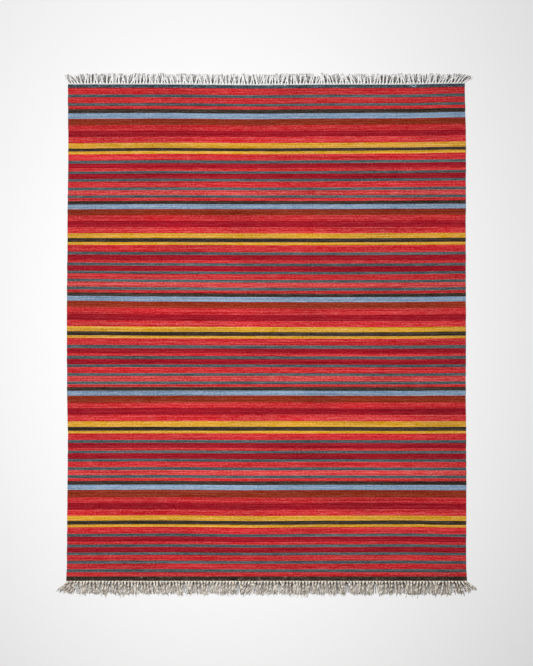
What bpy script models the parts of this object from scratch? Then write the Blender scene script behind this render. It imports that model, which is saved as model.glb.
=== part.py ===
"""Flat-woven wool kilim of 8 by 10 ft, lying flat on the floor, with its warp ends knotted into a fringe at both ends.

X runs across the rug along its wefts, Y along its warps and Z up from the floor. The far end is at +Y.
Three pieces: the woven field with its selvedges and twined end rows, the far fringe and the near fringe.
"""

import math
import random
from collections import namedtuple

import bmesh
import bpy
import numpy as np

# Driving dimensions, in metres
FIELD_WIDTH = 2.440
FIELD_LENGTH = 3.038
CLOTH_HEIGHT = 0.0040
PIECE_GAP = 0.0003
MM = 0.001

# The selvedges wander as the cloth came off the loom: how far each stands out of its straight line,
# at shares of the length from the near end
SelvedgeRow = namedtuple("SelvedgeRow", "along left_mm right_mm")
SELVEDGE_ROWS = (
    SelvedgeRow(0.00, 6, 8),
    SelvedgeRow(0.04, 2, 3),
    SelvedgeRow(0.17, -1, 5),
    SelvedgeRow(0.29, -4, 3),
    SelvedgeRow(0.38, 1, 1),
    SelvedgeRow(0.52, 3, 2),
    SelvedgeRow(0.70, -1, 1),
    SelvedgeRow(0.87, -6, 2),
    SelvedgeRow(1.00, -4, -5),
)

# The far end runs a little out of square: how far it stands past its straight line,
# at shares of the half width from the middle
FarEndRow = namedtuple("FarEndRow", "across out_mm")
FAR_END_ROWS = (
    FarEndRow(-1.00, 2),
    FarEndRow(-0.53, 2),
    FarEndRow(-0.05, -3),
    FarEndRow(0.34, 1),
    FarEndRow(0.67, 1),
    FarEndRow(1.00, 8),
)

# Section of the cloth at a selvedge, where the wefts turn round the last, thicker warps
SectionRow = namedtuple("SectionRow", "inset_mm height_mm")
SELVEDGE_SECTION = (
    SectionRow(0.0, 1.6),
    SectionRow(1.2, 3.7),
    SectionRow(4.0, 4.7),
    SectionRow(9.0, 4.0),
)

# Section of the twined rows that close the weave at an end: the height that they add to the cloth
EndSectionRow = namedtuple("EndSectionRow", "inset_share added_mm")
END_SECTION = (
    EndSectionRow(0.00, -0.6),
    EndSectionRow(0.12, 1.0),
    EndSectionRow(0.88, 1.0),
    EndSectionRow(1.00, 0.0),
)
FIELD_COLUMNS = 11
FIELD_ROWS = 20

# One row for each end of the rug: the depth of its twined rows, the bundles knotted from its warp ends,
# their length, and the angle at which the last bundle at each corner splays out
EndRow = namedtuple("EndRow", "name side rows_deep bundles length left_splay_deg right_splay_deg seed")
ENDS = (
    EndRow("far_fringe", 1, 0.020, 129, 0.066, 24, 40, 7),
    EndRow("near_fringe", -1, 0.027, 126, 0.076, 34, 50, 11),
)

# Section of a bundle along its length: where it is, its half width, its height, and its share of the lean
BundleRow = namedtuple("BundleRow", "along_mm half_width_mm height_mm lean_share")
KNOT = BundleRow(6.0, 5.2, 8.0, 0.35)
NECK = BundleRow(15.0, 3.3, 5.0, 0.75)
TIP = BundleRow(None, 6.4, 2.6, 1.00)
BUNDLE_TOP_SHARE = 0.66

STRIP_DEPTH = 0.0045
STRIP_HEIGHT = 0.0034
# The bundles lean together in slow waves along the end: size in degrees, waves and phase
LeanWave = namedtuple("LeanWave", "degrees waves phase")
LEAN_WAVES = (LeanWave(7.0, 2.3, 0.4), LeanWave(4.5, 6.1, 2.0))
LEAN_OUT_DEG = 9.0
LEAN_JITTER_DEG = 2.0
LENGTH_JITTER = 0.0045
WIDTH_JITTER = 0.12
# A corner's splay fades over this many bundles
SPLAY_FADE = 2.4


def eased(places, table_places, table_values):
    """A smooth curve through a table, level at each of its rows."""
    xs = np.asarray(table_places, float)
    ys = np.asarray(table_values, float)
    step = np.clip(np.searchsorted(xs, places) - 1, 0, len(xs) - 2)
    share = (places - xs[step]) / (xs[step + 1] - xs[step])
    return ys[step] + (ys[step + 1] - ys[step]) * share * share * (3 - 2 * share)


def left_edge(along):
    outs = [row.left_mm * MM for row in SELVEDGE_ROWS]
    return -FIELD_WIDTH / 2 - eased(along, [row.along for row in SELVEDGE_ROWS], outs)


def right_edge(along):
    outs = [row.right_mm * MM for row in SELVEDGE_ROWS]
    return FIELD_WIDTH / 2 + eased(along, [row.along for row in SELVEDGE_ROWS], outs)


def end_edge(side, across):
    """Y of the rug's end at shares of the half width, -1 at the left selvedge and 1 at the right."""
    if side < 0:
        return np.full_like(across, -FIELD_LENGTH / 2)
    outs = [row.out_mm * MM for row in FAR_END_ROWS]
    return FIELD_LENGTH / 2 + eased(across, [row.across for row in FAR_END_ROWS], outs)


def column_shares():
    """Shares of the half width at which the field's columns stand, and their insets and heights."""
    insets = [row.inset_mm * MM for row in SELVEDGE_SECTION]
    heights = [row.height_mm * MM for row in SELVEDGE_SECTION]
    middle = np.linspace(-1, 1, FIELD_COLUMNS + 2)[1:-1]
    edge = len(insets)
    shares = np.concatenate([-np.ones(edge), middle, np.ones(edge)])
    inward = np.concatenate([insets, np.zeros(FIELD_COLUMNS), -np.array(insets[::-1])])
    height = np.concatenate([heights, np.full(FIELD_COLUMNS, CLOTH_HEIGHT), heights[::-1]])
    return shares, inward, height


def row_places():
    """Shares of the length at which the field's rows stand, and the height that each adds."""
    near, far = ENDS[1].rows_deep / FIELD_LENGTH, ENDS[0].rows_deep / FIELD_LENGTH
    near_rows = [(row.inset_share * near, row.added_mm * MM) for row in END_SECTION]
    far_rows = [(1 - row.inset_share * far, row.added_mm * MM) for row in reversed(END_SECTION)]
    middle = [(place, 0.0) for place in np.linspace(near, 1 - far, FIELD_ROWS + 2)[1:-1]]
    places, added = zip(*(near_rows + middle + far_rows))
    return np.array(places), np.array(added)


def field_mesh():
    """The field as a grid of columns and rows, with its underside flat on the floor."""
    shares, inward, height = column_shares()
    places, added = row_places()
    left = left_edge(places)[:, None]
    right = right_edge(places)[:, None]
    half_share = (shares[None, :] + 1) / 2
    x = left * (1 - half_share) + right * half_share + inward[None, :]
    near = end_edge(-1, shares)[None, :]
    far = end_edge(1, shares)[None, :]
    y = near + (far - near) * places[:, None]
    z = height[None, :] + added[:, None]
    top = np.stack([x, y, z], axis=-1).reshape(-1, 3)
    bottom = np.stack([x, y, np.zeros_like(x)], axis=-1).reshape(-1, 3)
    rows, columns = x.shape
    count = rows * columns
    grid = np.arange(count).reshape(rows, columns)
    faces = []
    for row in range(rows - 1):
        for column in range(columns - 1):
            a, b = grid[row, column], grid[row, column + 1]
            c, d = grid[row + 1, column + 1], grid[row + 1, column]
            faces.append((a, b, c, d))
            faces.append((a + count, d + count, c + count, b + count))
    rim = list(grid[0, :-1]) + list(grid[:-1, -1]) + list(grid[-1, :0:-1]) + list(grid[:0:-1, 0])
    for a, b in zip(rim, rim[1:] + rim[:1]):
        faces.append((a, a + count, b + count, b))
    return np.vstack([top, bottom]), faces


def end_line(side, x):
    """Y of the field's end above x, along the straight stretches between its columns."""
    shares, inward, _ = column_shares()
    along = 1.0 if side > 0 else 0.0
    left, right = left_edge(np.array([along]))[0], right_edge(np.array([along]))[0]
    xs = left + (right - left) * (shares + 1) / 2 + inward
    return np.interp(x, xs, end_edge(side, shares))


def bundle_lean(end, index, chance):
    """Angle at which a bundle leans, in radians, positive towards +X."""
    across = 2 * (index + 0.5) / end.bundles - 1
    from_left, from_right = index, end.bundles - 1 - index
    degrees = LEAN_OUT_DEG * across**3
    for wave in LEAN_WAVES:
        degrees += wave.degrees * math.sin(wave.waves * math.pi * across + wave.phase + end.seed)
    degrees -= end.left_splay_deg * math.exp(-from_left / SPLAY_FADE)
    degrees += end.right_splay_deg * math.exp(-from_right / SPLAY_FADE)
    return math.radians(degrees + chance.uniform(-LEAN_JITTER_DEG, LEAN_JITTER_DEG))


def bundle_sections(root_x, length, lean, width):
    """Corners of a bundle's sections past its root, as x, distance out from the strip, and height."""
    sections = []
    x, out, reached = root_x, 0.0, 0.0
    for row in (KNOT, NECK, TIP):
        along = length if row.along_mm is None else row.along_mm * MM
        angle = lean * row.lean_share
        x += (along - reached) * math.sin(angle)
        out += (along - reached) * math.cos(angle)
        reached = along
        low = row.half_width_mm * MM * width
        high = low * BUNDLE_TOP_SHARE
        height = row.height_mm * MM
        corners = ((-low, 0.0), (low, 0.0), (high, height), (-high, height))
        sections.append([(x + s * math.cos(angle), out - s * math.sin(angle), z) for s, z in corners])
    return sections


def fringe_mesh(end):
    """A strip along the cloth's end, from which each bundle gathers into its knot and spreads to its tip."""
    chance = random.Random(end.seed)
    along = 1.0 if end.side > 0 else 0.0
    left, right = left_edge(np.array([along]))[0], right_edge(np.array([along]))[0]
    stations = np.linspace(left, right, end.bundles + 1)
    lines = end_line(end.side, stations)
    points, faces = [], []

    def place(x, out, z, line):
        points.append((x, line + end.side * (PIECE_GAP + out), z))
        return len(points) - 1

    ring = []
    for x, line in zip(stations, lines):
        corners = ((0.0, 0.0), (0.0, STRIP_HEIGHT), (STRIP_DEPTH, STRIP_HEIGHT), (STRIP_DEPTH, 0.0))
        ring.append([place(x, out, z, line) for out, z in corners])
    faces.append(tuple(ring[0]))
    faces.append(tuple(reversed(ring[-1])))
    for index in range(end.bundles):
        a, b = ring[index], ring[index + 1]
        for side in (0, 1, 3):
            after = (side + 1) % 4
            faces.append((a[side], b[side], b[after], a[after]))
        root = [a[3], b[3], b[2], a[2]]
        root_x = (stations[index] + stations[index + 1]) / 2
        line = (lines[index] + lines[index + 1]) / 2
        length = end.length + chance.uniform(-LENGTH_JITTER, LENGTH_JITTER) - STRIP_DEPTH
        width = 1 + chance.uniform(-WIDTH_JITTER, WIDTH_JITTER)
        lean = bundle_lean(end, index, chance)
        before = root
        for section in bundle_sections(root_x, length, lean, width):
            now = [place(x, STRIP_DEPTH + out, z, line) for x, out, z in section]
            for corner in range(4):
                after = (corner + 1) % 4
                faces.append((before[corner], before[after], now[after], now[corner]))
            before = now
        faces.append(tuple(before))
    return np.array(points), faces


def add_piece(name, points, faces, material):
    """Makes a closed mesh object with its faces pointing out."""
    mesh = bpy.data.meshes.new(name)
    mesh.from_pydata([tuple(map(float, point)) for point in points], [], [tuple(map(int, f)) for f in faces])
    shape = bmesh.new()
    shape.from_mesh(mesh)
    bmesh.ops.recalc_face_normals(shape, faces=shape.faces)
    shape.to_mesh(mesh)
    shape.free()
    mesh.materials.append(material)
    piece = bpy.data.objects.new(name, mesh)
    bpy.context.scene.collection.objects.link(piece)
    return piece


def add_material(name, colour, roughness):
    material = bpy.data.materials.new(name)
    material.use_nodes = True
    shader = material.node_tree.nodes["Principled BSDF"]
    shader.inputs["Base Color"].default_value = (*colour, 1.0)
    shader.inputs["Roughness"].default_value = roughness
    shader.inputs["Metallic"].default_value = 0.0
    return material


def main():
    for old in list(bpy.data.objects):
        bpy.data.objects.remove(old, do_unlink=True)
    meshes = {"woven_field": field_mesh()}
    for end in ENDS:
        meshes[end.name] = fringe_mesh(end)
    materials = {
        "woven_field": add_material("madder red wool", (0.56, 0.037, 0.042), 0.9),
        "far_fringe": add_material("bleached cotton warp", (0.80, 0.78, 0.74), 0.9),
        "near_fringe": add_material("cotton warp", (0.62, 0.57, 0.50), 0.9),
    }
    every = np.vstack([points for points, _ in meshes.values()])
    middle = (every.min(axis=0) + every.max(axis=0)) / 2
    shift = np.array([-middle[0], -middle[1], 0.0])
    for name, (points, faces) in meshes.items():
        add_piece(name, points + shift, faces, materials[name])


main()
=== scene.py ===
# A striped wool kilim with twined end rows and knotted fringes, lying flat on a pale floor
import math
import random

import bpy
import numpy as np
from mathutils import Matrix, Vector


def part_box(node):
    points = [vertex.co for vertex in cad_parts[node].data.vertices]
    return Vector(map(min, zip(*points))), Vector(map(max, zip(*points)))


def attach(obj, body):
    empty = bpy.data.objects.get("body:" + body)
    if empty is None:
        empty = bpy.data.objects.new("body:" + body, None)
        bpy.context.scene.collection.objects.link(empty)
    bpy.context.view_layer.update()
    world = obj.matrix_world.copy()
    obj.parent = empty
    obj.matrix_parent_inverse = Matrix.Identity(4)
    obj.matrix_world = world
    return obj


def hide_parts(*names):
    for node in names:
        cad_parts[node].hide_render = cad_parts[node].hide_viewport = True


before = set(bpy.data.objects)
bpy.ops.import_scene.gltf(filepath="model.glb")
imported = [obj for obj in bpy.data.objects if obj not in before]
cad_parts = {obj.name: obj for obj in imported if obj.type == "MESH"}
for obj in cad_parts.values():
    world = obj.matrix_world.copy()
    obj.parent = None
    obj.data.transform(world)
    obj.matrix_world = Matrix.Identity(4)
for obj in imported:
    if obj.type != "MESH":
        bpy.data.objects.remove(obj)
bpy.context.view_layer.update()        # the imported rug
mm = 0.001

# The rug's own sizes in metres, the same as in its solids
rug = {
    "width": 2.440,
    "length": 3.038,
    "thick": 0.0040,
    "farRows": 0.020,      # depth of the slate twined rows
    "nearRows": 0.027,     # depth of the dark brown ones
    "gap": 0.0003,         # between the cloth and a fringe's strip
}

# How far each selvedge stands out of its straight line, in mm, at shares of the length from the near end
selvedges = {
    "along": (0.00, 0.04, 0.17, 0.29, 0.38, 0.52, 0.70, 0.87, 1.00),
    "left": (6, 2, -1, -4, 1, 3, -1, -6, -4),
    "right": (8, 3, 5, 3, 1, 2, 1, 2, -5),
}

# Section of a selvedge, in mm: the wefts turn round thicker outer warps
selvedgeSection = {
    "inset": (0.0, 0.35, 1.3, 2.6, 4.2, 6.0, 8.0, 10.5),
    "height": (1.6, 3.0, 4.1, 4.6, 4.7, 4.4, 4.05, 3.95),
}

# The wefts drift a little from straight lines. Each row is one weft, at a share of the length from the
# far end, with its drift towards the far end in mm at six places across, where a selvedge is at -1 or 1
driftPlaces = (-1.0, -0.53, -0.05, 0.34, 0.67, 1.0)
driftRows = (
    (0.00, (2, 2, -3, 1, 1, 8)),
    (0.12, (-2, 2, -1, 2, 5, 10)),
    (0.25, (-2, 0, -1, -1, 1, 3)),
    (0.42, (7, 2, -1, -2, -1, 3)),
    (0.64, (-3, -2, -1, -2, -3, -1)),
    (0.78, (1, 2, -1, 0, -1, -1)),
    (0.92, (1, 4, -1, 2, 4, -1)),
    (1.00, (0, 0, 0, 0, 0, 0)),
)

# The weaver's chart. Stripes from the far end to the near end: yarn and depth in mm
farStripes = (
    ("red", 41),
    ("teal", 18),
    ("red", 35),
    ("teal", 16),
    ("red", 19),
    ("charcoal", 26),
)
nearStripes = (("red", 33), ("teal", 19), ("red", 25))
# Between them the repeat, one row for each of its stripes: yarn, then its depth in mm in the five repeats.
# The last repeat is cut short
repeatChart = (
    ("sky", 33, 29, 30, 29, 31),
    ("rust", 40, 38, 39, 43, 46),
    ("red", 34, 34, 40, 34, 34),
    ("crimson", 36, 40, 38, 41, 40),
    ("salmonRed", 39, 37, 37, 40, 39),
    ("mustard", 31, 30, 30, 34, 30),
    ("charcoal", 19, 25, 25, 25, 24),
    ("mustard", 17, 17, 15, 16, 16),
    ("red", 40, 44, 42, 41, 41),
    ("teal", 17, 17, 19, 18, 17),
    ("crimson", 29, 32, 30, 32, 30),
    ("red", 19, 19, 17, 16, 18),
    ("teal", 15, 17, 18, 16, 17),
    ("crimson", 32, 34, 33, 36, 32),
    ("teal", 16, 16, 17, 16, 16),
    ("red", 36, 34, 36, 34, 34),
    ("teal", 17, 17, 17, 18, 18),
    ("coral", 31, 31, 33, 31, 0),
    ("teal", 16, 18, 18, 18, 0),
    ("red", 18, 17, 16, 17, 0),
    ("charcoal", 21, 22, 23, 24, 0),
)

# Dyed wool yarns: sRGB colour, and how strongly paler fibre shows in streaks along the yarn
yarns = {
    "slate": ("45525a", 0.30),
    "red": ("bb1821", 0.50),
    "salmonRed": ("c21922", 0.68),
    "teal": ("384f53", 0.62),
    "crimson": ("90031a", 0.16),
    "charcoal": ("2a2119", 0.35),
    "sky": ("728da8", 1.20),
    "rust": ("802306", 0.25),
    "mustard": ("cb9510", 0.90),
    "coral": ("c22f31", 0.85),
    "darkBrown": ("3a2c25", 0.30),
}


def linearFromHex(code):
    # sRGB to linear: c / 12.92 up to 0.04045, else ((c + 0.055) / 1.055) to the power 2.4
    parts = np.array([int(code[i:i + 2], 16) for i in (0, 2, 4)]) / 255
    return np.where(parts <= 0.04045, parts / 12.92, ((parts + 0.055) / 1.055) ** 2.4)


def addNode(tree, kind, inputs=None, links=None, **settings):
    # one node with its settings, its fixed input values, and its inputs linked from other nodes' outputs
    node = tree.nodes.new(kind)
    for name, value in settings.items():
        setattr(node, name, value)
    for name, value in (inputs or {}).items():
        node.inputs[name].default_value = value
    for name, output in (links or {}).items():
        tree.links.new(output, node.inputs[name])
    return node


def addMath(tree, operation, *values, **settings):
    # one math node: a number goes on its own socket, and another node's output is linked to it
    node = addNode(tree, "ShaderNodeMath", operation=operation, **settings)
    for socket, value in zip(node.inputs, values):
        if isinstance(value, (int, float)):
            socket.default_value = value
        else:
            tree.links.new(value, socket)
    return node.outputs[0]


def newTree(name):
    # a material with an empty tree of nodes
    material = bpy.data.materials.new(name)
    material.use_nodes = True
    material.node_tree.nodes.clear()
    return material, material.node_tree


def eased(places, tablePlaces, tableValues):
    # a smooth curve through a table, level at each of its rows: a + (b - a) * (3 t^2 - 2 t^3)
    xs = np.asarray(tablePlaces, float)
    ys = np.asarray(tableValues, float)
    step = np.clip(np.searchsorted(xs, places) - 1, 0, len(xs) - 2)
    share = np.clip((places - xs[step]) / (xs[step + 1] - xs[step]), 0, 1)
    return ys[step] + (ys[step + 1] - ys[step]) * share * share * (3 - 2 * share)


# Where the rug lies in the frame, from its solids
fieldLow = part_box("woven_field")[0]
middleX = fieldLow[0] + rug["width"] / 2 + max(selvedges["left"]) * mm
farY = fieldLow[1] + rug["length"]
nearY = fieldLow[1]


def selvedgeX(share):
    # x of the left and right edges at shares of the length from the far end
    left = middleX - rug["width"] / 2 - eased(1 - share, selvedges["along"], selvedges["left"]) * mm
    right = middleX + rug["width"] / 2 + eased(1 - share, selvedges["along"], selvedges["right"]) * mm
    return left, right


def weftDrift(across, share):
    # drift in metres: eased across each charted weft, then eased between the wefts above and below
    wefts = np.array([row[0] for row in driftRows])
    values = np.array([eased(across, driftPlaces, row[1]) for row in driftRows])
    step = np.clip(np.searchsorted(wefts, share) - 1, 0, len(wefts) - 2)
    t = (share - wefts[step]) / (wefts[step + 1] - wefts[step])
    t = t * t * (3 - 2 * t)
    return (values[step] * (1 - t)[:, None] + values[step + 1] * t[:, None]) * mm


def clothPlace(across, down):
    # x and y of the cloth: across is -1 to 1 from selvedge to selvedge, down is metres from the far end;
    # x = left + (right - left) * (across + 1) / 2, y = farY - down + drift
    share = down / rug["length"]
    left, right = selvedgeX(share)
    half = (across + 1) / 2
    x = left[:, None] * (1 - half)[None, :] + right[:, None] * half[None, :]
    y = farY - down[:, None] + weftDrift(across, share)
    return x, y


def addMesh(name, points, faceGroups):
    # a mesh from whole arrays; each group of faces is an array with one row of corners per face
    corners = np.concatenate([group.ravel() for group in faceGroups])
    sizes = np.concatenate([np.full(len(group), group.shape[1]) for group in faceGroups])
    mesh = bpy.data.meshes.new(name)
    mesh.vertices.add(len(points))
    mesh.vertices.foreach_set("co", np.asarray(points, np.float32).ravel())
    mesh.loops.add(len(corners))
    mesh.loops.foreach_set("vertex_index", corners.astype(np.int32))
    mesh.polygons.add(len(sizes))
    mesh.polygons.foreach_set("loop_start", (np.cumsum(sizes) - sizes).astype(np.int32))
    mesh.update(calc_edges=True)
    mesh.polygons.foreach_set("use_smooth", np.ones(len(sizes), bool))
    piece = bpy.data.objects.new(name, mesh)
    bpy.context.scene.collection.objects.link(piece)
    return piece, corners


def paintMesh(piece, place, colour):
    # place is u and v at each corner: metres along the yarn, then metres down the cloth or turns round a
    # tube. colour is the yarn's linear colour at each corner, and how strongly paler fibre shows in it
    weave = piece.data.uv_layers.new(name="weave")
    weave.data.foreach_set("uv", np.asarray(place, np.float32).ravel())
    yarn = piece.data.attributes.new("yarn", "FLOAT_COLOR", "CORNER")
    yarn.data.foreach_set("color", np.asarray(colour, np.float32).ravel())


def yarnColour(name):
    code, streaks = yarns[name]
    return np.array([*linearFromHex(code), streaks])


# Stage 1: the woven field, one closed cloth whose rows of faces follow its wefts

cloth = {
    "columns": 160,             # between the selvedges
    "rowsInStripe": 2,
    "endHeight": 2.9 * mm,      # under the twined rows
    "endFade": 0.06,            # depth over which the unevenness below dies away at both ends
    "sideFade": 0.03,           # and the relief at the selvedges, as a share of half the width
    "beatWobble": 0.30 * mm,    # how unevenly the wefts are beaten down
    "wobblePitch": 0.060,
    "turnWobble": 0.9 * mm,     # how unevenly they turn at the selvedges
    "relief": 0.35 * mm,        # the cloth's slow rise and fall
    "reliefPitch": 0.24,
    "reliefRange": (0.7, 2.2),  # lengths of its waves, as shares of the pitch
    "reliefWaves": 5,
    "reliefSum": 2.2,           # about how high the waves stand once they are added up
    "shadeChange": 0.035,       # from stripe to stripe of one yarn
    "slack": 1e-9,              # allowed between two depths that are the same
    "seed": 4,
}


def stripeList():
    # every stripe from the far end to the near end, as (yarn, depth in metres)
    stripes = [("slate", rug["farRows"])]
    stripes += [(yarn, depth * mm) for yarn, depth in farStripes]
    for repeat in range(1, len(repeatChart[0])):
        stripes += [(row[0], row[repeat] * mm) for row in repeatChart if row[repeat] > 0]
    stripes += [(yarn, depth * mm) for yarn, depth in nearStripes]
    stripes += [("darkBrown", rug["nearRows"])]
    return stripes


def smoothNoise(chance, places, pitch, count):
    # count rows of smooth noise along places: random values every pitch metres, eased between them
    knots = np.arange(places.min() - pitch, places.max() + 2 * pitch, pitch)
    return np.array([eased(places, knots, chance.normal(size=len(knots))) for _ in range(count)])


def makeField():
    chance = np.random.default_rng(cloth["seed"])
    stripes = stripeList()
    edges = np.concatenate([[0], np.cumsum([depth for _, depth in stripes])])
    edges *= rug["length"] / edges[-1]
    parts = cloth["rowsInStripe"]
    spans = [np.linspace(a, b, parts + 1)[:-1] for a, b in zip(edges, edges[1:])]
    down = np.concatenate(spans + [edges[-1:]])
    inset = np.array(selvedgeSection["inset"]) * mm
    bead = np.array(selvedgeSection["height"]) * mm
    innerShare = 1 - 2 * inset[-1] / rug["width"]
    inner = np.linspace(-innerShare, innerShare, cloth["columns"] + 2)[1:-1]
    beadShare = 1 - 2 * inset / rug["width"]
    across = np.concatenate([-beadShare, inner, beadShare[::-1]])
    x, y = clothPlace(across, down)
    # the wobble moves each weft as a whole, least at the two ends
    wobble = smoothNoise(chance, across * rug["width"] / 2, cloth["wobblePitch"], len(down))
    fade = np.clip(np.minimum(down, rug["length"] - down) / cloth["endFade"], 0, 1)[:, None]
    y = y + wobble * cloth["beatWobble"] * fade
    # each stripe's wefts turn a little further out or in at the two selvedges
    turns = np.repeat(chance.uniform(-1, 1, (len(stripes), 2)), parts, axis=0)
    turns = np.concatenate([turns, turns[-1:]])
    outer = np.clip((np.abs(across) - innerShare) / (1 - innerShare), 0, 1)
    x = x + cloth["turnWobble"] * np.where(across < 0, -turns[:, :1], turns[:, 1:]) * outer * fade
    # height of the top: the section of the selvedges, lowered under the twined rows, plus the slow relief
    section = np.concatenate([bead, np.full(cloth["columns"], rug["thick"]), bead[::-1]])
    z = np.repeat(section[None, :], len(down), axis=0)
    twined = (down <= edges[1] + cloth["slack"]) | (down >= edges[-2] - cloth["slack"])
    z[twined] = np.minimum(z[twined], cloth["endHeight"])
    waves = np.zeros_like(z)
    for _ in range(cloth["reliefWaves"]):
        angle, phase = chance.uniform(0, 2 * math.pi, 2)
        size = cloth["reliefPitch"] * chance.uniform(*cloth["reliefRange"])
        waves += np.sin(2 * math.pi * (x * math.cos(angle) + y * math.sin(angle)) / size + phase)
    inside = np.clip((1 - np.abs(across)) / cloth["sideFade"], 0, 1)[None, :] * fade
    z = z + cloth["relief"] * waves / cloth["reliefSum"] * inside
    top = np.stack([x, y, z], axis=-1).reshape(-1, 3)
    bottom = np.stack([x, y, np.zeros_like(z)], axis=-1).reshape(-1, 3)
    rows, columns = x.shape
    count = rows * columns
    grid = np.arange(count).reshape(rows, columns)
    a, b, c, d = (g.ravel() for g in (grid[1:, :-1], grid[1:, 1:], grid[:-1, 1:], grid[:-1, :-1]))
    upper = np.stack([a, b, c, d], axis=1)
    lower = np.stack([a, d, c, b], axis=1) + count
    rim = np.concatenate([grid[0, :-1], grid[:-1, -1], grid[-1, :0:-1], grid[:0:-1, 0]])
    after = np.roll(rim, -1)
    wall = np.stack([rim, after, after + count, rim + count], axis=1)
    piece, corners = addMesh("striped_wool_field", np.concatenate([top, bottom]), [upper, lower, wall])
    # colours go on by face row, so a stripe ends sharply between two wefts
    stripeOfRow = np.repeat(np.arange(len(stripes)), parts)
    shade = 1 + cloth["shadeChange"] * chance.normal(size=len(stripes))
    colours = np.array([yarnColour(name) for name, _ in stripes])
    colours[:, :3] *= shade[:, None]
    rowColour = colours[stripeOfRow]
    upperColour = np.repeat(rowColour, columns - 1, axis=0)
    wallRow = np.minimum(np.minimum(rim, after) // columns, rows - 2)
    wallColour = rowColour[wallRow]
    faceColour = np.concatenate([upperColour, upperColour, wallColour])
    u = (across * rug["width"] / 2)[None, :] + np.zeros_like(x)
    v = down[:, None] + np.zeros_like(x)
    place = np.stack([u, v], axis=-1).reshape(-1, 2)
    place = np.concatenate([place, place])
    paintMesh(piece, place[corners], np.repeat(faceColour, 4, axis=0))
    return piece


# Stage 2: tubes of yarn, for the twined rows and the fringes

def tubeMesh(name, paths, radii, sides, ringColour):
    # a round tube along each path: centre + radius * (cos a * side + sin a * up), where side is level
    # and square to the path, and up = side x path. paths is (yarns, rings, 3), and the rest follows it
    count, rings, _ = paths.shape
    way = np.gradient(paths, axis=1)
    way /= np.linalg.norm(way, axis=2, keepdims=True)
    side = np.stack([way[..., 1], -way[..., 0], np.zeros_like(way[..., 0])], axis=-1)
    side /= np.linalg.norm(side, axis=2, keepdims=True)
    up = np.cross(side, way)
    angle = (np.arange(sides) + 0.5) * 2 * math.pi / sides
    ring = np.cos(angle)[:, None] * side[:, :, None, :] + np.sin(angle)[:, None] * up[:, :, None, :]
    points = paths[:, :, None, :] + radii[:, :, None, None] * ring
    grid = np.arange(count * rings * sides).reshape(count, rings, sides)
    turned = np.roll(grid, -1, axis=2)
    a, b = grid[:, :-1], turned[:, :-1]
    c, d = turned[:, 1:], grid[:, 1:]
    walls = np.stack([a, b, c, d], axis=-1).reshape(-1, 4)
    # each end closes on a middle point of its own
    middles = grid.size + np.arange(2 * count).reshape(2, count, 1)
    first = np.stack([turned[:, 0], grid[:, 0], np.repeat(middles[0], sides, axis=1)], axis=-1)
    last = np.stack([grid[:, -1], turned[:, -1], np.repeat(middles[1], sides, axis=1)], axis=-1)
    points = np.concatenate([points.reshape(-1, 3), paths[:, 0], paths[:, -1]])
    length = np.cumsum(np.linalg.norm(np.diff(paths, axis=1, prepend=paths[:, :1]), axis=2), axis=1)
    u = np.concatenate([np.repeat(length[:, :, None], sides, axis=2).ravel(), length[:, 0], length[:, -1]])
    v = np.concatenate([np.tile(np.arange(sides) / sides, count * rings), np.zeros(2 * count)])
    wallColour = np.repeat(ringColour.reshape(-1, 4), sides, axis=0)
    colour = np.concatenate([wallColour, ringColour[:, 0], ringColour[:, -1]])
    piece, corners = addMesh(name, points, [walls, first.reshape(-1, 3), last.reshape(-1, 3)])
    paintMesh(piece, np.stack([u, v], axis=-1)[corners], colour[corners])
    return piece


twining = {
    "far": {"yarn": "slate", "rows": 3, "pitch": 0.0200, "sway": 0.3 * mm, "shades": (0.26, 1.92),
            "patches": 0.42, "seed": 21},
    "near": {"yarn": "darkBrown", "rows": 4, "pitch": 0.0185, "sway": 0.8 * mm, "shades": (0.12, 2.35),
             "patches": 0.62, "seed": 22},
    "rowStep": 0.5,          # radians by which a row's twist is ahead of the row before
    "ringsInPitch": 8,
    "sides": 4,
    "radius": 1.85 * mm,
    "swing": 1.55 * mm,      # sideways, as the two yarns pass over each other
    "lift": 0.90 * mm,
    "height": 3.1 * mm,
    "endInset": 0.6 * mm,
    "unevenPitch": 0.040,    # length over which the twist and the row wander
    "unevenTurn": 0.7,       # radians by which the twist wanders
    "swayLimit": 1.2,
    "patchPitch": 0.020,     # length over which both yarns of a row change in tone
    "fleckPitch": 0.016,     # and over which each does on its own
    "flecks": 0.35,
}


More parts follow.
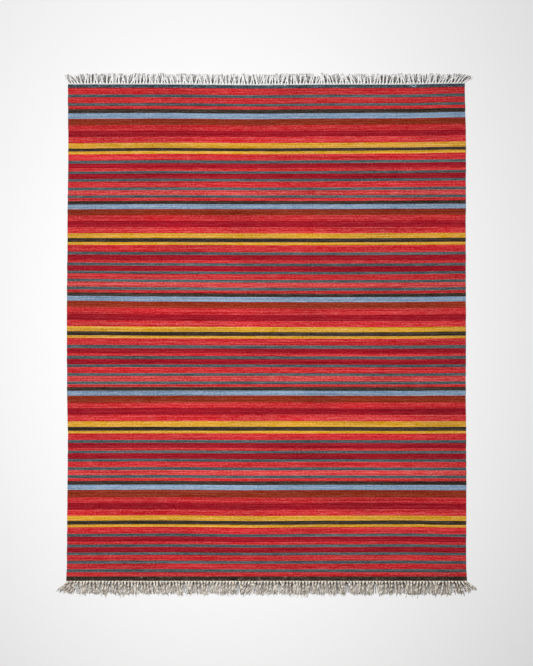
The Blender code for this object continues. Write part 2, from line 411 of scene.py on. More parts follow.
def makeTwinedRows(name, end, fromEnd, depth):
    # rows of two yarns twisted round each other: y = row + swing * cos(turn),
    # z = height + lift * sin(turn), turn = 2 pi x / pitch, with half a turn more for the second yarn
    settings = twining[end]
    chance = np.random.default_rng(settings["seed"])
    rings = int(rug["width"] / settings["pitch"] * twining["ringsInPitch"])
    inset = 2 * twining["endInset"] / rug["width"]
    across = np.linspace(-1 + inset, 1 - inset, rings)
    paths, tones = [], []
    for row in range(settings["rows"]):
        down = fromEnd + depth * (row + 0.5) / settings["rows"]
        x, y = clothPlace(across, np.array([down]))
        # the third row of this noise goes unused, and keeps the draws after it in their order
        turnNoise, swayNoise, _ = smoothNoise(chance, x[0], twining["unevenPitch"], 3)
        patches = smoothNoise(chance, x[0], twining["patchPitch"], 1)[0]
        turn = 2 * math.pi * (x[0] - middleX) / settings["pitch"] + twining["unevenTurn"] * turnNoise
        turn = turn + twining["rowStep"] * row
        sway = settings["sway"] * np.clip(swayNoise, -twining["swayLimit"], twining["swayLimit"])
        for strand in range(2):
            phase = turn + math.pi * strand
            strandY = y[0] + twining["swing"] * np.cos(phase) + sway
            strandZ = twining["height"] + twining["lift"] * np.sin(phase)
            paths.append(np.stack([x[0], strandY, strandZ], axis=-1))
            flecks = smoothNoise(chance, x[0], twining["fleckPitch"], 1)[0]
            change = np.exp(twining["flecks"] * flecks + settings["patches"] * patches)
            tones.append(settings["shades"][strand] * change)
    paths = np.array(paths)
    ringColour = np.tile(yarnColour(settings["yarn"]), (*paths.shape[:2], 1))
    ringColour[..., :3] *= np.array(tones)[..., None]
    radii = np.full(paths.shape[:2], twining["radius"])
    return tubeMesh(name, paths, radii, twining["sides"], ringColour)


# Stage 3: the fringes. Their bundles have the places, lengths and splayed corners of the solids' strands

fringes = {
    # strays are the share of longer yarns, tipBend is how far the last bundles at the left corner curl on,
    # in degrees, gather is how far a bundle's yarns stand from its middle, which they reach at openAt,
    # shadowTone is the colour of the painted shade, and twistShade and mottle are how strongly the painted
    # shade along a bundle's twist and its darker places show
    "far": {"side": 1, "bundles": 129, "length": 0.066, "leftSplay": 24, "rightSplay": 40, "seed": 7,
            "looseLean": 15.0, "tipBend": (75, 45), "yarns": 8, "reach": (0.88, 1.06), "strays": 0.05,
            "gather": 2.0 * mm, "openAt": 25 * mm, "tipHeight": 0.0, "tone": "fbf9f7",
            "shadowTone": "3a332b", "rootTone": 1.00, "twistShade": 0.12, "mottle": 0.06},
    # the near fringe carries much heavier painted shade, as it lies darker under the light
    "near": {"side": -1, "bundles": 126, "length": 0.076, "leftSplay": 34, "rightSplay": 50, "seed": 11,
             "looseLean": 12.0, "tipBend": (0, 0), "yarns": 10, "reach": (0.97, 1.15), "strays": 0.18,
             "gather": 3.1 * mm, "openAt": 10 * mm, "tipHeight": 1.5 * mm, "tone": "f5eadb",
             "shadowTone": "352c26", "rootTone": 1.08, "twistShade": 0.80, "mottle": 0.28},
    "sides": 4,
    "rings": 16,
    "ringCrowding": 1.25,     # above 1, a yarn's rings stand closer at its root
    "streaks": 0.2,           # the wool's amount of pale fibre, which the cotton has no use for
    # lean of the bundles, in degrees
    "leanOut": 9.0,
    "waves": ((7.0, 2.3, 0.4), (4.5, 6.1, 2.0)),   # degrees, waves along the end, phase in radians
    "splayFade": 2.4,         # bundles over which the splay of a corner dies away
    "leanJitter": 2.0,
    "lengthJitter": 4.5 * mm,
    "widthJitter": 0.12,
    "looseSeed": 7,
    "looseLimit": 22,
    "neatCorner": 2,          # bundles at each corner that lie just as the solids' strands do
    # how far along a yarn its knot is, its neck past the knot, and where it has its bundle's whole lean
    "knotAt": 6.0 * mm,
    "neckAt": 15.0 * mm,
    "leanAt": 30.0 * mm,
    "leanShares": (0.2, 0.5, 0.9, 1.0),
    # the two legs of a bundle, in degrees: most stay close, and some part widely
    "legAt": 35.0 * mm,
    "legShares": (0.0, 0.5, 1.0),
    "legLean": 2.5,
    "partedShare": 0.25,
    "parting": (9.0, 1.5),
    "legSplit": 0.9 * mm,
    "splitRange": (0.2, 1.8),
    "yarnLean": 2.0,
    "bend": 9.0,              # how far a bundle bends over its length, about a place near its middle
    "bendMiddle": 0.45,
    "strayReach": (1.02, 1.18),
    # its yarns side by side at the root, drawn together in the knot, then loosely twisted and frayed
    "rootInset": 1.2 * mm,
    "rootCurve": 0.8,
    "knotSpread": 2.6,        # mm
    "turnJitter": 0.05,
    "twistPitch": 0.030,
    "twistRange": (0.7, 1.6),
    "gatherRange": (0.6, 1.25),
    "twistLift": 0.6,
    "fray": 2.4 * mm,
    "frayFrom": 0.62,
    "frayCurve": 1.5,
    "fraySpread": 3.2,
    "curl": (0.12, 0.66),     # mm
    "curlPitch": (0.018, 0.040),
    # thickness and height
    "radius": 1.5 * mm,
    "radiusRange": (0.85, 1.15),
    "taper": 0.35,
    "taperCurve": 3,
    "rootGap": 0.4 * mm,
    "layers": 0.8,            # mm
    "leastLayer": 0.3,
    "arch": (0.6 * mm, 2.2 * mm, 1.8 * mm),   # at the root, the knot and the neck
    "tipAt": 40.0 * mm,
    # tone, and the painted shade along a bundle's twist
    "twistShadeCurve": 1.5,
    "twistShadeRange": (0.6, 1.4),
    "twistShadeLimit": 0.94,
    "rootToneEnd": 24.0 * mm,
}


def bundleTable(end):
    # for each bundle: x and y of its root's middle, lean in radians, length, and width as a share
    down = 0.0 if end["side"] > 0 else rug["length"]
    x, y = clothPlace(np.linspace(-1, 1, end["bundles"] + 1), np.array([down]))
    across = 2 * (np.arange(end["bundles"]) + 0.5) / end["bundles"] - 1
    chance = random.Random(end["seed"])
    rows = []
    for index, place in enumerate(across):
        length = end["length"] + chance.uniform(-1, 1) * fringes["lengthJitter"]
        width = 1 + chance.uniform(-1, 1) * fringes["widthJitter"]
        degrees = fringes["leanOut"] * place**3
        for size, waves, phase in fringes["waves"]:
            degrees += size * math.sin(waves * math.pi * place + phase + end["seed"])
        degrees -= end["leftSplay"] * math.exp(-index / fringes["splayFade"])
        degrees += end["rightSplay"] * math.exp(-(end["bundles"] - 1 - index) / fringes["splayFade"])
        degrees += chance.uniform(-1, 1) * fringes["leanJitter"]
        rows.append((math.radians(degrees), length, width))
    lean, length, width = np.array(rows).T
    # handled ends lie less evenly than the solids' strands, but for the splayed corners
    looseChance = np.random.default_rng(end["seed"] + fringes["looseSeed"])
    loose = looseChance.normal(0, end["looseLean"], end["bundles"])
    loose[:fringes["neatCorner"]] = 0
    loose[-fringes["neatCorner"]:] = 0
    return {
        "x": (x[0, 1:] + x[0, :-1]) / 2,
        "y": (y[0, 1:] + y[0, :-1]) / 2,
        "lean": lean + np.radians(np.clip(loose, -fringes["looseLimit"], fringes["looseLimit"])),
        "length": length,
        "width": width,
        "pitch": np.diff(x[0])[0],
    }


def leanTaken(along):
    # share of its bundle's lean that a yarn has at each length along it
    places = (0, fringes["knotAt"], fringes["neckAt"], fringes["leanAt"])
    return np.interp(along, places, fringes["leanShares"])


def withStreaks(colour):
    # a colour with the fourth number that the yarns' colours have
    return np.concatenate([colour, np.full((*colour.shape[:-1], 1), fringes["streaks"])], axis=-1)


def makeFringe(name, key):
    # a yarn's middle line: along is its own length, and each part of it leans by angle(along), so
    # x = root + sum of sin(angle) * step, out = sum of cos(angle) * step, plus its place in the bundle
    end = fringes[key]
    bundle = bundleTable(end)
    length, width = bundle["length"][:, None], bundle["width"][:, None]
    chance = np.random.default_rng(end["seed"])
    bundles, count, rings = end["bundles"], end["yarns"], fringes["rings"]
    knotAt, neckAt = fringes["knotAt"], fringes["neckAt"]
    shape = (bundles, count)
    ringShare = np.linspace(0, 1, rings) ** fringes["ringCrowding"]
    # a bundle's yarns part into two legs past the knot, each with its own lean
    leg = np.where(np.arange(count) % 2 == 0, -1, 1)[None, :] * np.ones(shape)
    parting = np.where(chance.uniform(0, 1, (bundles, 1)) < fringes["partedShare"], *fringes["parting"])
    legLean = chance.normal(0, fringes["legLean"], (bundles, 2)) + parting * np.array([-1.0, 1.0])
    legLean = np.radians(np.where(leg < 0, legLean[:, :1], legLean[:, 1:]))
    split = fringes["legSplit"] * chance.uniform(*fringes["splitRange"], (bundles, 1)) * width
    reach = length * chance.uniform(*end["reach"], shape)
    stray = chance.uniform(0, 1, shape) < end["strays"]
    reach = reach * np.where(stray, chance.uniform(*fringes["strayReach"], shape), 1)
    along = reach[:, :, None] * ringShare
    legShare = np.interp(along, [knotAt, neckAt, fringes["legAt"]], fringes["legShares"])
    own = np.radians(chance.normal(0, fringes["yarnLean"], shape))
    bend = chance.normal(0, fringes["bend"], bundles)
    bend[:len(end["tipBend"])] = end["tipBend"]
    bend = np.radians(bend)[:, None, None] * (along / length[:, :, None] - fringes["bendMiddle"])
    angle = (bundle["lean"][:, None, None] + bend) * leanTaken(along)
    angle = angle + (legLean + own)[:, :, None] * legShare
    step = np.diff(along, axis=2, prepend=0)
    x = bundle["x"][:, None, None] + np.cumsum(np.sin(angle) * step, axis=2)
    out = np.cumsum(np.cos(angle) * step, axis=2)
    # sideways: spread along the cloth's edge, drawn into the knot, then twisted loosely: the yarns stand
    # round the bundle's middle at gather * (cos turn, sin turn), turn = 2 pi (along / pitch + their share)
    rootSpread = np.linspace(-1, 1, count) * (bundle["pitch"] / 2 - fringes["rootInset"]) * np.ones(shape)
    knotSpread = chance.uniform(-1, 1, shape) * fringes["knotSpread"] * mm
    turn = chance.uniform(0, 1, (bundles, 1)) + np.arange(count)[None, :] / count
    turn = turn + chance.normal(0, fringes["turnJitter"], shape)
    twistPitch = fringes["twistPitch"] * chance.uniform(*fringes["twistRange"], (bundles, 1, 1))
    turn = 2 * math.pi * (along / twistPitch + turn[:, :, None])
    ringSize = (end["gather"] * width * chance.uniform(*fringes["gatherRange"], shape))[:, :, None]
    gather = np.clip(1 - along / knotAt, 0, 1) ** fringes["rootCurve"]
    opened = np.clip((along - knotAt) / (end["openAt"] - knotAt), 0, 1)
    opened = opened * opened * (3 - 2 * opened)
    frayed = np.clip(along / reach[:, :, None] - fringes["frayFrom"], 0, 1) ** fringes["frayCurve"]
    frayed = frayed * chance.normal(0, fringes["fraySpread"], shape)[:, :, None]
    curl = chance.uniform(*fringes["curl"], shape) * mm
    curlPitch = chance.uniform(*fringes["curlPitch"], shape)
    curlPhase = chance.uniform(0, 2 * math.pi, shape)
    curling = 2 * math.pi * along / curlPitch[:, :, None] + curlPhase[:, :, None]
    curling = curl[:, :, None] * np.sin(curling)
    sideways = rootSpread[:, :, None] * gather + knotSpread[:, :, None] * (1 - gather) * (1 - opened)
    sideways = sideways + ((leg * split)[:, :, None] + ringSize * np.cos(turn)) * opened
    sideways = sideways + (curling + fringes["fray"] * frayed) * opened
    x = x + sideways * np.cos(angle)
    out = out - sideways * np.sin(angle) * (1 - gather)
    # height: out of the cloth, over the knot and down to the floor, in two loose layers
    radius = fringes["radius"] * chance.uniform(*fringes["radiusRange"], shape)
    radii = radius[:, :, None] * (1 - fringes["taper"] * ringShare ** fringes["taperCurve"])
    layer = chance.uniform(0, fringes["layers"], shape)[:, :, None] * mm
    layer = layer * np.clip(along / knotAt, fringes["leastLayer"], 1)
    arch = np.interp(along, [0, knotAt, neckAt, fringes["tipAt"]], [*fringes["arch"], end["tipHeight"]])
    z = radii + arch + layer + fringes["twistLift"] * ringSize * (1 + np.sin(turn)) * opened
    y = bundle["y"][:, None, None] + end["side"] * (rug["gap"] + fringes["rootGap"] + out)
    paths = np.stack([x, y, z], axis=-1).reshape(-1, rings, 3)
    # painted shade along the twist: a bundle's darkened yarns lie side by side, so its twist shows as
    # slanting shaded bands
    shadedSide = 2 * math.pi * (np.arange(count)[None, :] / count + chance.uniform(0, 1, (bundles, 1)))
    blend = (0.5 + 0.5 * np.cos(shadedSide)) ** fringes["twistShadeCurve"]
    blend = blend * chance.uniform(*fringes["twistShadeRange"], shape) * end["twistShade"]
    blend = np.minimum(blend, fringes["twistShadeLimit"])[..., None]
    colour = linearFromHex(end["tone"]) * (1 - blend) + linearFromHex(end["shadowTone"]) * blend
    toneEnds = [end["rootTone"], end["rootTone"], 1.0]
    roots = np.interp(along, [0, knotAt, fringes["rootToneEnd"]], toneEnds)
    roots = roots * np.exp(end["mottle"] * chance.normal(size=(bundles, 1, rings)))
    ringColour = withStreaks(np.minimum(colour[:, :, None, :] * roots[..., None], 1))
    ringColour = ringColour.reshape(-1, rings, 4)
    return tubeMesh(name, paths, radii.reshape(-1, rings), fringes["sides"], ringColour)


# Painted shade between the bundles: dark strands on the floor stand for the shadow there
paintedShadeStrands = {
    # start is how far past the cloth's edge the middle ones and the outermost ones begin, and paleGaps is
    # how much the gaps differ in paleness
    "far": {"yarns": 9, "start": (5.0 * mm, 36.0 * mm), "reach": (0.74, 1.06), "tipPale": 0.05,
            "paleGaps": 0.22, "mottle": 0.25},
    "near": {"yarns": 11, "start": (4.2 * mm, 8.5 * mm), "reach": (0.92, 1.12), "tipPale": 0.30,
             "paleGaps": 0.15, "mottle": 0.25},
    "seed": 50,
    "sides": 4,
    "rings": 10,
    "radius": 1.35 * mm,
    "radiusRange": (0.8, 1.1),
    "swelling": (0.9, 1.1),   # of that radius, from root to tip
    "startCurve": 1.3,
    "yarnLean": 1.5,          # degrees
    "spread": 5.4 * mm,       # to either side of a gap's middle
    "opening": 0.7,           # share of it at the bundles' neck, and its least and most
    "openRange": (0.30, 1.1),
    "curl": (0.4, 1.6),       # mm
    "curlPitch": (0.022, 0.045),
    "curlFrom": 6.0 * mm,
    "curlLength": 0.03,
    "curlStep": 6,            # radians from yarn to yarn, for each mm between them
    "tones": (0.4, 1.7),
    "knotTone": 0.7,
    "paleCurve": 0.8,
    "paleShift": -0.12,
    "paleLimit": 0.5,
}


def makePaintedShade(name, key):
    # painted shade: dark strands that lie on the floor between the bundles, where the bundles shade it
    end, own = fringes[key], paintedShadeStrands[key]
    bundle = bundleTable(end)
    chance = np.random.default_rng(end["seed"] + paintedShadeStrands["seed"])
    count, rings = own["yarns"], paintedShadeStrands["rings"]
    gapX, gapY, length = ((bundle[part][1:] + bundle[part][:-1]) / 2 for part in ("x", "y", "length"))
    shape = (len(gapX), count)
    ringShare = np.linspace(0, 1, rings)
    # they fan out between the leans of the two bundles beside them
    fan = (np.arange(count) + 0.5) / count
    lean = bundle["lean"][:-1, None] * (1 - fan) + bundle["lean"][1:, None] * fan
    # the middle ones start at the knots, the outer ones further out
    outer = np.abs(np.linspace(-1, 1, count))[None, :] ** paintedShadeStrands["startCurve"]
    first, last = own["start"]
    start = (first + (last - first) * outer * chance.uniform(0, 1, shape))[:, :, None]
    reach = length[:, None] * chance.uniform(*own["reach"], shape)
    along = start + (reach[:, :, None] - start) * ringShare
    ownLean = np.radians(chance.normal(0, paintedShadeStrands["yarnLean"], shape))[:, :, None]
    angle = lean[:, :, None] * leanTaken(along) + ownLean
    step = np.diff(along, axis=2, prepend=0)
    place = np.linspace(-1, 1, count)[None, :, None] * paintedShadeStrands["spread"]
    spread = np.clip(along / fringes["neckAt"] * paintedShadeStrands["opening"], *paintedShadeStrands["openRange"])
    curled = np.clip((along - paintedShadeStrands["curlFrom"]) / paintedShadeStrands["curlLength"], 0, 1)
    curl = chance.uniform(*paintedShadeStrands["curl"], (*shape, 1)) * mm * curled
    curlTurn = 2 * math.pi * along / chance.uniform(*paintedShadeStrands["curlPitch"], (*shape, 1))
    curl = curl * np.sin(curlTurn + paintedShadeStrands["curlStep"] * place / mm)
    x = gapX[:, None, None] + np.cumsum(np.sin(angle) * step, axis=2) + place * spread + curl
    out = np.cumsum(np.cos(angle) * step, axis=2)
    y = gapY[:, None, None] + end["side"] * (rug["gap"] + out)
    radii = paintedShadeStrands["radius"] * chance.uniform(*paintedShadeStrands["radiusRange"], shape)[:, :, None]
    radii = radii * np.linspace(*paintedShadeStrands["swelling"], rings)
    paths = np.stack([x, y, radii], axis=-1).reshape(-1, rings, 3)
    colour = linearFromHex(end["shadowTone"]) * chance.uniform(*paintedShadeStrands["tones"], shape)[..., None]
    mottle = np.exp(own["mottle"] * chance.normal(size=(len(gapX), 1, rings)))
    # the painted shade is deepest beside the knots
    clear = [fringes["knotAt"], 2 * fringes["neckAt"]]
    mottle = mottle * np.interp(along, clear, [paintedShadeStrands["knotTone"], 1.0])
    # the painted shade is paler towards the tips, and in some of the gaps
    paler = chance.normal(paintedShadeStrands["paleShift"], own["paleGaps"], (len(gapX), 1, 1))
    paler = np.clip(paler, 0, paintedShadeStrands["paleLimit"]) + own["tipPale"] * ringShare ** paintedShadeStrands["paleCurve"]
    paler = paler[..., None]
    ringColour = colour[:, :, None, :] * (1 - paler) + linearFromHex(end["tone"]) * paler
    ringColour = withStreaks(np.minimum(ringColour * mottle[..., None], 1)).reshape(-1, rings, 4)
    return tubeMesh(name, paths, radii.reshape(-1, rings), paintedShadeStrands["sides"], ringColour)


knots = {
    "seed": 100,
    "rings": 9,
    "sides": 8,
    "halfWidth": 6.4 * mm,
    "halfDepth": 3.4 * mm,
    "halfHeight": 3.3 * mm,
    "sizes": (0.92, 1.08),
    "ridge": 0.13,
    "poleInset": 0.08,        # radians
    "out": 6.5 * mm,          # from the cloth's edge
    "seat": 1.14,             # height of the middle, as a share of halfHeight
    "clear": 0.2 * mm,
    "leanShare": 0.6,
    "tilt": 0.3,              # radians
    "shiftShare": 0.35,
    "tones": (0.92, 1.04),
}


def makeKnots(name, key):
    # an overhand knot in each bundle: an ellipsoid with its poles across the rug, each closed by a small
    # face, that swells by 1 + ridge * sin(2 turn + 3 pole + phase)
    end = fringes[key]
    bundle = bundleTable(end)
    chance = np.random.default_rng(end["seed"] + knots["seed"])
    pole = np.linspace(knots["poleInset"], math.pi - knots["poleInset"], knots["rings"])[None, :, None]
    turn = (np.arange(knots["sides"]) * 2 * math.pi / knots["sides"])[None, None, :]
    size = (bundle["width"] * chance.uniform(*knots["sizes"], end["bundles"]))[:, None, None]
    phase = chance.uniform(0, 2 * math.pi, end["bundles"])[:, None, None]
    swell = size * (1 + knots["ridge"] * np.sin(2 * turn + 3 * pole + phase))
    dx = knots["halfWidth"] * swell * np.cos(pole)
    dy = knots["halfDepth"] * swell * np.sin(pole) * np.cos(turn)
    dz = knots["halfHeight"] * swell * np.sin(pole) * np.sin(turn)
    tilt = chance.uniform(-knots["tilt"], knots["tilt"], end["bundles"])
    tilt = (bundle["lean"] * knots["leanShare"] + tilt)[:, None, None]
    shiftX = fringes["knotAt"] * np.sin(bundle["lean"] * knots["shiftShare"])
    x = (bundle["x"] + shiftX)[:, None, None] + dx * np.cos(tilt) + dy * np.sin(tilt) * end["side"]
    y = (bundle["y"] + end["side"] * knots["out"])[:, None, None]
    y = y + dy * np.cos(tilt) - dx * np.sin(tilt) * end["side"]
    z = knots["halfHeight"] * knots["seat"] + dz + knots["clear"]
    points = np.stack([x, y, z], axis=-1)
    grid = np.arange(x.size).reshape(x.shape)
    turned = np.roll(grid, -1, axis=2)
    walls = np.stack([grid[:, :-1], grid[:, 1:], turned[:, 1:], turned[:, :-1]], axis=-1)
    faceGroups = [walls.reshape(-1, 4), grid[:, -1], grid[:, 0, ::-1]]
    piece, corners = addMesh(name, points.reshape(-1, 3), faceGroups)
    turns = np.broadcast_to(turn / (2 * math.pi), x.shape)
    place = np.stack([dx, turns], axis=-1).reshape(-1, 2)
    tone = end["rootTone"] * chance.uniform(*knots["tones"], (end["bundles"], 1))
    tone = linearFromHex(end["tone"]) * tone
    colour = np.repeat(withStreaks(tone), knots["rings"] * knots["sides"], axis=0)
    paintMesh(piece, place[corners], colour[corners])
    return piece


# Materials

woolLook = {
    "name": "dyed handspun wool, weft faced",   # matt, streaked along the yarn, with a soft bloom of fibres
    # each noise: its length along the yarn and its depth in metres, how much it changes the tone and the
    # share of pale fibre, and its detail. Paler yarn is brighter as well, so one noise does both
    "streaks": {
        "batch": (7.00, 0.0090, 0.80, 0.0, 1.0),
        "slow": (0.45, 0.13, 0.55, 0.0, 1.0),
        "hank": (1.30, 0.0065, 0.95, 0.38, 1.0),
        "long": (0.28, 0.0058, 0.45, 0.27, 2.0),
        "short": (0.075, 0.0061, 0.60, 0.46, 2.0),
        "grain": (0.012, 0.0070, 1.15, 0.48, 2.0),   # longer and deeper than real
    },
    "noiseStep": 31.0,        # from noise to noise, so that no two are alike
    "noiseRoughness": 0.55,
    "fibreShare": 0.055,
    "paleFibre": "e0d4c8",
    "warpPitch": 0.0040,      # both a little coarser than real
    "pickPitch": 0.00125,
    "weaveShare": 0.8,        # of the relief, beside the grain
    "weaveStrength": 0.35,
    "weaveHeight": 0.0006,
    "roughness": 0.92,
    "specular": 0.10,
    "sheen": 0.03,
    "sheenRoughness": 0.55,
}


def addShader(tree, look, colour, bump):
    # matt fibre with a faint sheen, straight to the material's output
    fixed = {
        "Roughness": look["roughness"],
        "IOR": 1.5,
        "Specular IOR Level": look["specular"],
        "Sheen Weight": look["sheen"],
        "Sheen Roughness": look["sheenRoughness"],
    }
    shader = addNode(tree, "ShaderNodeBsdfPrincipled", inputs=fixed,
                     links={"Base Color": colour, "Normal": bump.outputs["Normal"]})
    addNode(tree, "ShaderNodeOutputMaterial", links={"Surface": shader.outputs["BSDF"]})


def makeWool():
    look = woolLook
    material, tree = newTree(look["name"])
    yarn = addNode(tree, "ShaderNodeAttribute", attribute_name="yarn")
    weave = addNode(tree, "ShaderNodeUVMap", uv_map="weave")
    # tone = 1 + sum of amount * (noise - 0.5), and the share of pale fibre likewise from fibreShare
    tone = 1.0 - sum(row[2] for row in look["streaks"].values()) / 2
    share = look["fibreShare"] - sum(row[3] for row in look["streaks"].values()) / 2
    for index, (length, depth, toneAmount, fibreAmount, detail) in enumerate(look["streaks"].values()):
        offset = look["noiseStep"] * (index + 1)
        scaled = addNode(tree, "ShaderNodeVectorMath", operation="MULTIPLY_ADD",
                         inputs={1: (1 / length, 1 / depth, 0), 2: (offset, offset, offset)},
                         links={0: weave.outputs["UV"]})
        noise = addNode(tree, "ShaderNodeTexNoise", noise_dimensions="3D",
                        inputs={"Scale": 1.0, "Detail": detail, "Roughness": look["noiseRoughness"]},
                        links={"Vector": scaled.outputs[0]}).outputs["Fac"]
        tone = addMath(tree, "MULTIPLY_ADD", noise, toneAmount, tone)
        if fibreAmount > 0:
            share = addMath(tree, "MULTIPLY_ADD", noise, fibreAmount, share)
    toned = addNode(tree, "ShaderNodeVectorMath", operation="SCALE",
                    links={"Vector": yarn.outputs["Color"], "Scale": tone}).outputs[0]
    # pale fibre shows as strongly as the yarn's own amount says
    amount = addMath(tree, "MULTIPLY", share, yarn.outputs["Alpha"], use_clamp=True)
    streaked = addNode(tree, "ShaderNodeMix", data_type="RGBA", blend_type="MIX", links={"Factor": amount})
    toneSocket, fibreSocket = [socket for socket in streaked.inputs if socket.type == "RGBA"]
    tree.links.new(toned, toneSocket)
    fibreSocket.default_value = (*linearFromHex(look["paleFibre"]), 1)
    mixed = [socket for socket in streaked.outputs if socket.type == "RGBA"][0]
    # the weave: each weft bows over every second warp, and the next pick over the others,
    # height = |sin(pi u / (2 warp pitch) + a quarter turn for each pick)| * |sin(pi v / pick pitch)|
    parts = addNode(tree, "ShaderNodeSeparateXYZ", links={0: weave.outputs["UV"]})
    pick = addMath(tree, "MULTIPLY", parts.outputs["Y"], 1 / look["pickPitch"])
    ownShift = addMath(tree, "MULTIPLY", addMath(tree, "FLOOR", pick), 0.5)
    warp = addMath(tree, "MULTIPLY_ADD", parts.outputs["X"], 0.5 / look["warpPitch"], ownShift)
    waves = []
    for source in (warp, pick):
        wave = addMath(tree, "SINE", addMath(tree, "MULTIPLY", source, math.pi))
        waves.append(addMath(tree, "ABSOLUTE", wave))
    crowns = addMath(tree, "MULTIPLY", *waves)
    height = addMath(tree, "MULTIPLY_ADD", crowns, look["weaveShare"], noise)   # noise is the grain here
    bump = addNode(tree, "ShaderNodeBump",
                   inputs={"Strength": look["weaveStrength"], "Distance": look["weaveHeight"]},
                   links={"Height": height})
    addShader(tree, look, mixed, bump)
    return material


plyLook = {
    "twined": {"name": "two ply wool, twined", "plyPitch": 0.006, "grain": 260.0, "toneChange": 0.30,
               "sheen": 0.03},
    "cotton": {"name": "loose spun cotton warp", "plyPitch": 0.005, "grain": 420.0, "toneChange": 0.22,
               "sheen": 0.08},
    # of both yarns
    "grooveStrength": 0.4,
    "grooveHeight": 0.0005,
    "fibre": {"roughness": 0.9, "specular": 0.12, "sheenRoughness": 0.5},
}


def makePly(key):
    # plied yarn: matt, with the slanting grooves of its plies and a little change of tone along it
    look = {**plyLook["fibre"], **plyLook[key]}
    material, tree = newTree(look["name"])
    yarn = addNode(tree, "ShaderNodeAttribute", attribute_name="yarn")
    weave = addNode(tree, "ShaderNodeUVMap", uv_map="weave")
    place = addNode(tree, "ShaderNodeTexCoord")
    grain = addNode(tree, "ShaderNodeTexNoise",
                    inputs={"Scale": look["grain"], "Detail": 2.0, "Roughness": 0.6},
                    links={"Vector": place.outputs["Object"]}).outputs["Fac"]
    tone = addMath(tree, "MULTIPLY_ADD", grain, look["toneChange"], 1 - look["toneChange"] / 2)
    toned = addNode(tree, "ShaderNodeVectorMath", operation="SCALE",
                    links={"Vector": yarn.outputs["Color"], "Scale": tone}).outputs[0]
    # grooves = sin(2 pi (length / ply pitch + turn))
    parts = addNode(tree, "ShaderNodeSeparateXYZ", links={0: weave.outputs["UV"]})
    turn = addMath(tree, "MULTIPLY_ADD", parts.outputs["X"], 1 / look["plyPitch"], parts.outputs["Y"])
    groove = addMath(tree, "SINE", addMath(tree, "MULTIPLY", turn, 2 * math.pi))
    bump = addNode(tree, "ShaderNodeBump",
                   inputs={"Strength": plyLook["grooveStrength"], "Distance": plyLook["grooveHeight"]},
                   links={"Height": groove})
    addShader(tree, look, toned, bump)
    return material


field = makeField()
print("woven field:", len(field.data.polygons), "faces")
farRows = makeTwinedRows("slate_twined_rows", "far", 0.0, rug["farRows"])
nearRows = makeTwinedRows("brown_twined_rows", "near", rug["length"] - rug["nearRows"], rug["nearRows"])
print("twined rows:", len(farRows.data.polygons), len(nearRows.data.polygons), "faces")
farFringe = makeFringe("far_warp_ends", "far")
nearFringe = makeFringe("near_warp_ends", "near")
farKnots = makeKnots("far_knots", "far")
nearKnots = makeKnots("near_knots", "near")
# painted shade between the bundles of both fringes
farPaintedShade = makePaintedShade("far_painted_shade", "far")
nearPaintedShade = makePaintedShade("near_painted_shade", "near")
print("fringes:", len(farFringe.data.polygons), len(nearFringe.data.polygons), "faces")

wool = makeWool()
twinedWool = makePly("twined")
cotton = makePly("cotton")
for piece, material in ((field, wool), (farRows, twinedWool), (nearRows, twinedWool), (farFringe, cotton),
                        (nearFringe, cotton), (farKnots, cotton), (nearKnots, cotton),
                        (farPaintedShade, cotton), (nearPaintedShade, cotton)):
    piece.data.materials.append(material)
    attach(piece, "root")
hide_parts("woven_field")
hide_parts("far_fringe")
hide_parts("near_fringe")
print("materials and sheet")

# The floor, the lights and the camera

studio = {
    "floorSize": 30.0,
    "floorDrop": 0.4 * mm,    # below the rug
    "floorTone": "f0f0f0",
    "floorRoughness": 0.9,
    "floorSpecular": 0.2,
    "fill": 0.190,
    "lamps": {
        "soft": {"at": (-0.28, -0.27, 3.61), "watts": 118, "size": (0.30, 4.61), "aim": (0, 0, -1)},
        "key": {"at": (-3.08, 8.46, 10.72), "watts": 720, "size": (1.6, 1.6), "aim": (3.08, -8.46, -10.72)},
    },
}
camera = {
    "height": 9.0,
    "metresPerPixel": 3.038 / 496.0,   # the cloth is 496 pixels long in the photo
    "frameHigh": 666,
    "frameWide": 533,
    "clothMiddlePixel": 266.4,
    "nearEdgePixel": 580.8,
    "sensorWidth": 36.0,
    "farClip": 100.0,
}


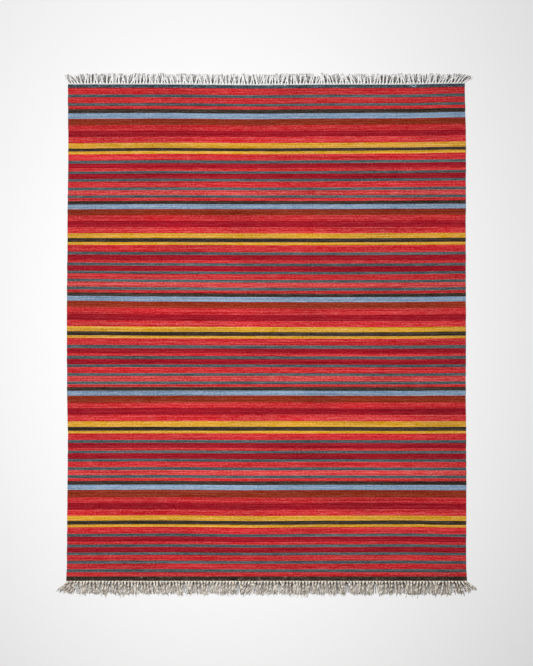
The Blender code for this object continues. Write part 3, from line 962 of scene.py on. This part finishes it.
def makeFloor():
    half, low = studio["floorSize"] / 2, -studio["floorDrop"]
    corners = [(-half, -half, low), (half, -half, low), (half, half, low), (-half, half, low)]
    mesh = bpy.data.meshes.new("floor")
    mesh.from_pydata(corners, [], [(0, 1, 2, 3)])
    floor = bpy.data.objects.new("floor", mesh)
    bpy.context.scene.collection.objects.link(floor)
    paint = bpy.data.materials.new("matt pale floor paint")
    paint.use_nodes = True
    shader = paint.node_tree.nodes["Principled BSDF"]
    shader.inputs["Base Color"].default_value = (*linearFromHex(studio["floorTone"]), 1)
    shader.inputs["Roughness"].default_value = studio["floorRoughness"]
    shader.inputs["Specular IOR Level"].default_value = studio["floorSpecular"]
    mesh.materials.append(paint)


def aimedAt(aim):
    # turn that points a lamp's -Z along aim: tilt from straight down, then turn about Z
    tilt = math.atan2(math.hypot(aim[0], aim[1]), -aim[2])
    turn = math.atan2(aim[1], aim[0]) - math.pi / 2 if tilt > 0 else 0.0
    return (tilt, 0.0, turn)


def makeLights():
    for name, settings in studio["lamps"].items():
        light = bpy.data.lights.new(name, "AREA")
        light.energy = settings["watts"]
        light.shape = "RECTANGLE"
        light.size, light.size_y = settings["size"]
        lamp = bpy.data.objects.new(name, light)
        lamp.location = settings["at"]
        lamp.rotation_euler = aimedAt(settings["aim"])
        lamp.visible_camera = False
        bpy.context.scene.collection.objects.link(lamp)
    world = bpy.data.worlds.new("studio")
    world.use_nodes = True
    background = world.node_tree.nodes["Background"]
    background.inputs["Color"].default_value = (1, 1, 1, 1)
    background.inputs["Strength"].default_value = studio["fill"]
    bpy.context.scene.world = world
    bpy.context.scene.view_settings.view_transform = "Standard"


def makeCamera():
    # straight above, with the cloth at its place in the frame
    data = bpy.data.cameras.new("camera")
    data.sensor_width = camera["sensorWidth"]
    seen = camera["frameHigh"] * camera["metresPerPixel"]
    data.lens = data.sensor_width / 2 / (seen / 2 / (camera["height"] - rug["thick"]))
    data.clip_end = camera["farClip"]
    eye = bpy.data.objects.new("camera", data)
    offX = (camera["frameWide"] / 2 - camera["clothMiddlePixel"]) * camera["metresPerPixel"]
    offY = (camera["nearEdgePixel"] - camera["frameHigh"] / 2) * camera["metresPerPixel"]
    eye.location = (middleX + offX, nearY + offY, camera["height"])
    bpy.context.scene.collection.objects.link(eye)
    bpy.context.scene.camera = eye


makeFloor()
makeLights()
makeCamera()
print("floor, lights and camera")
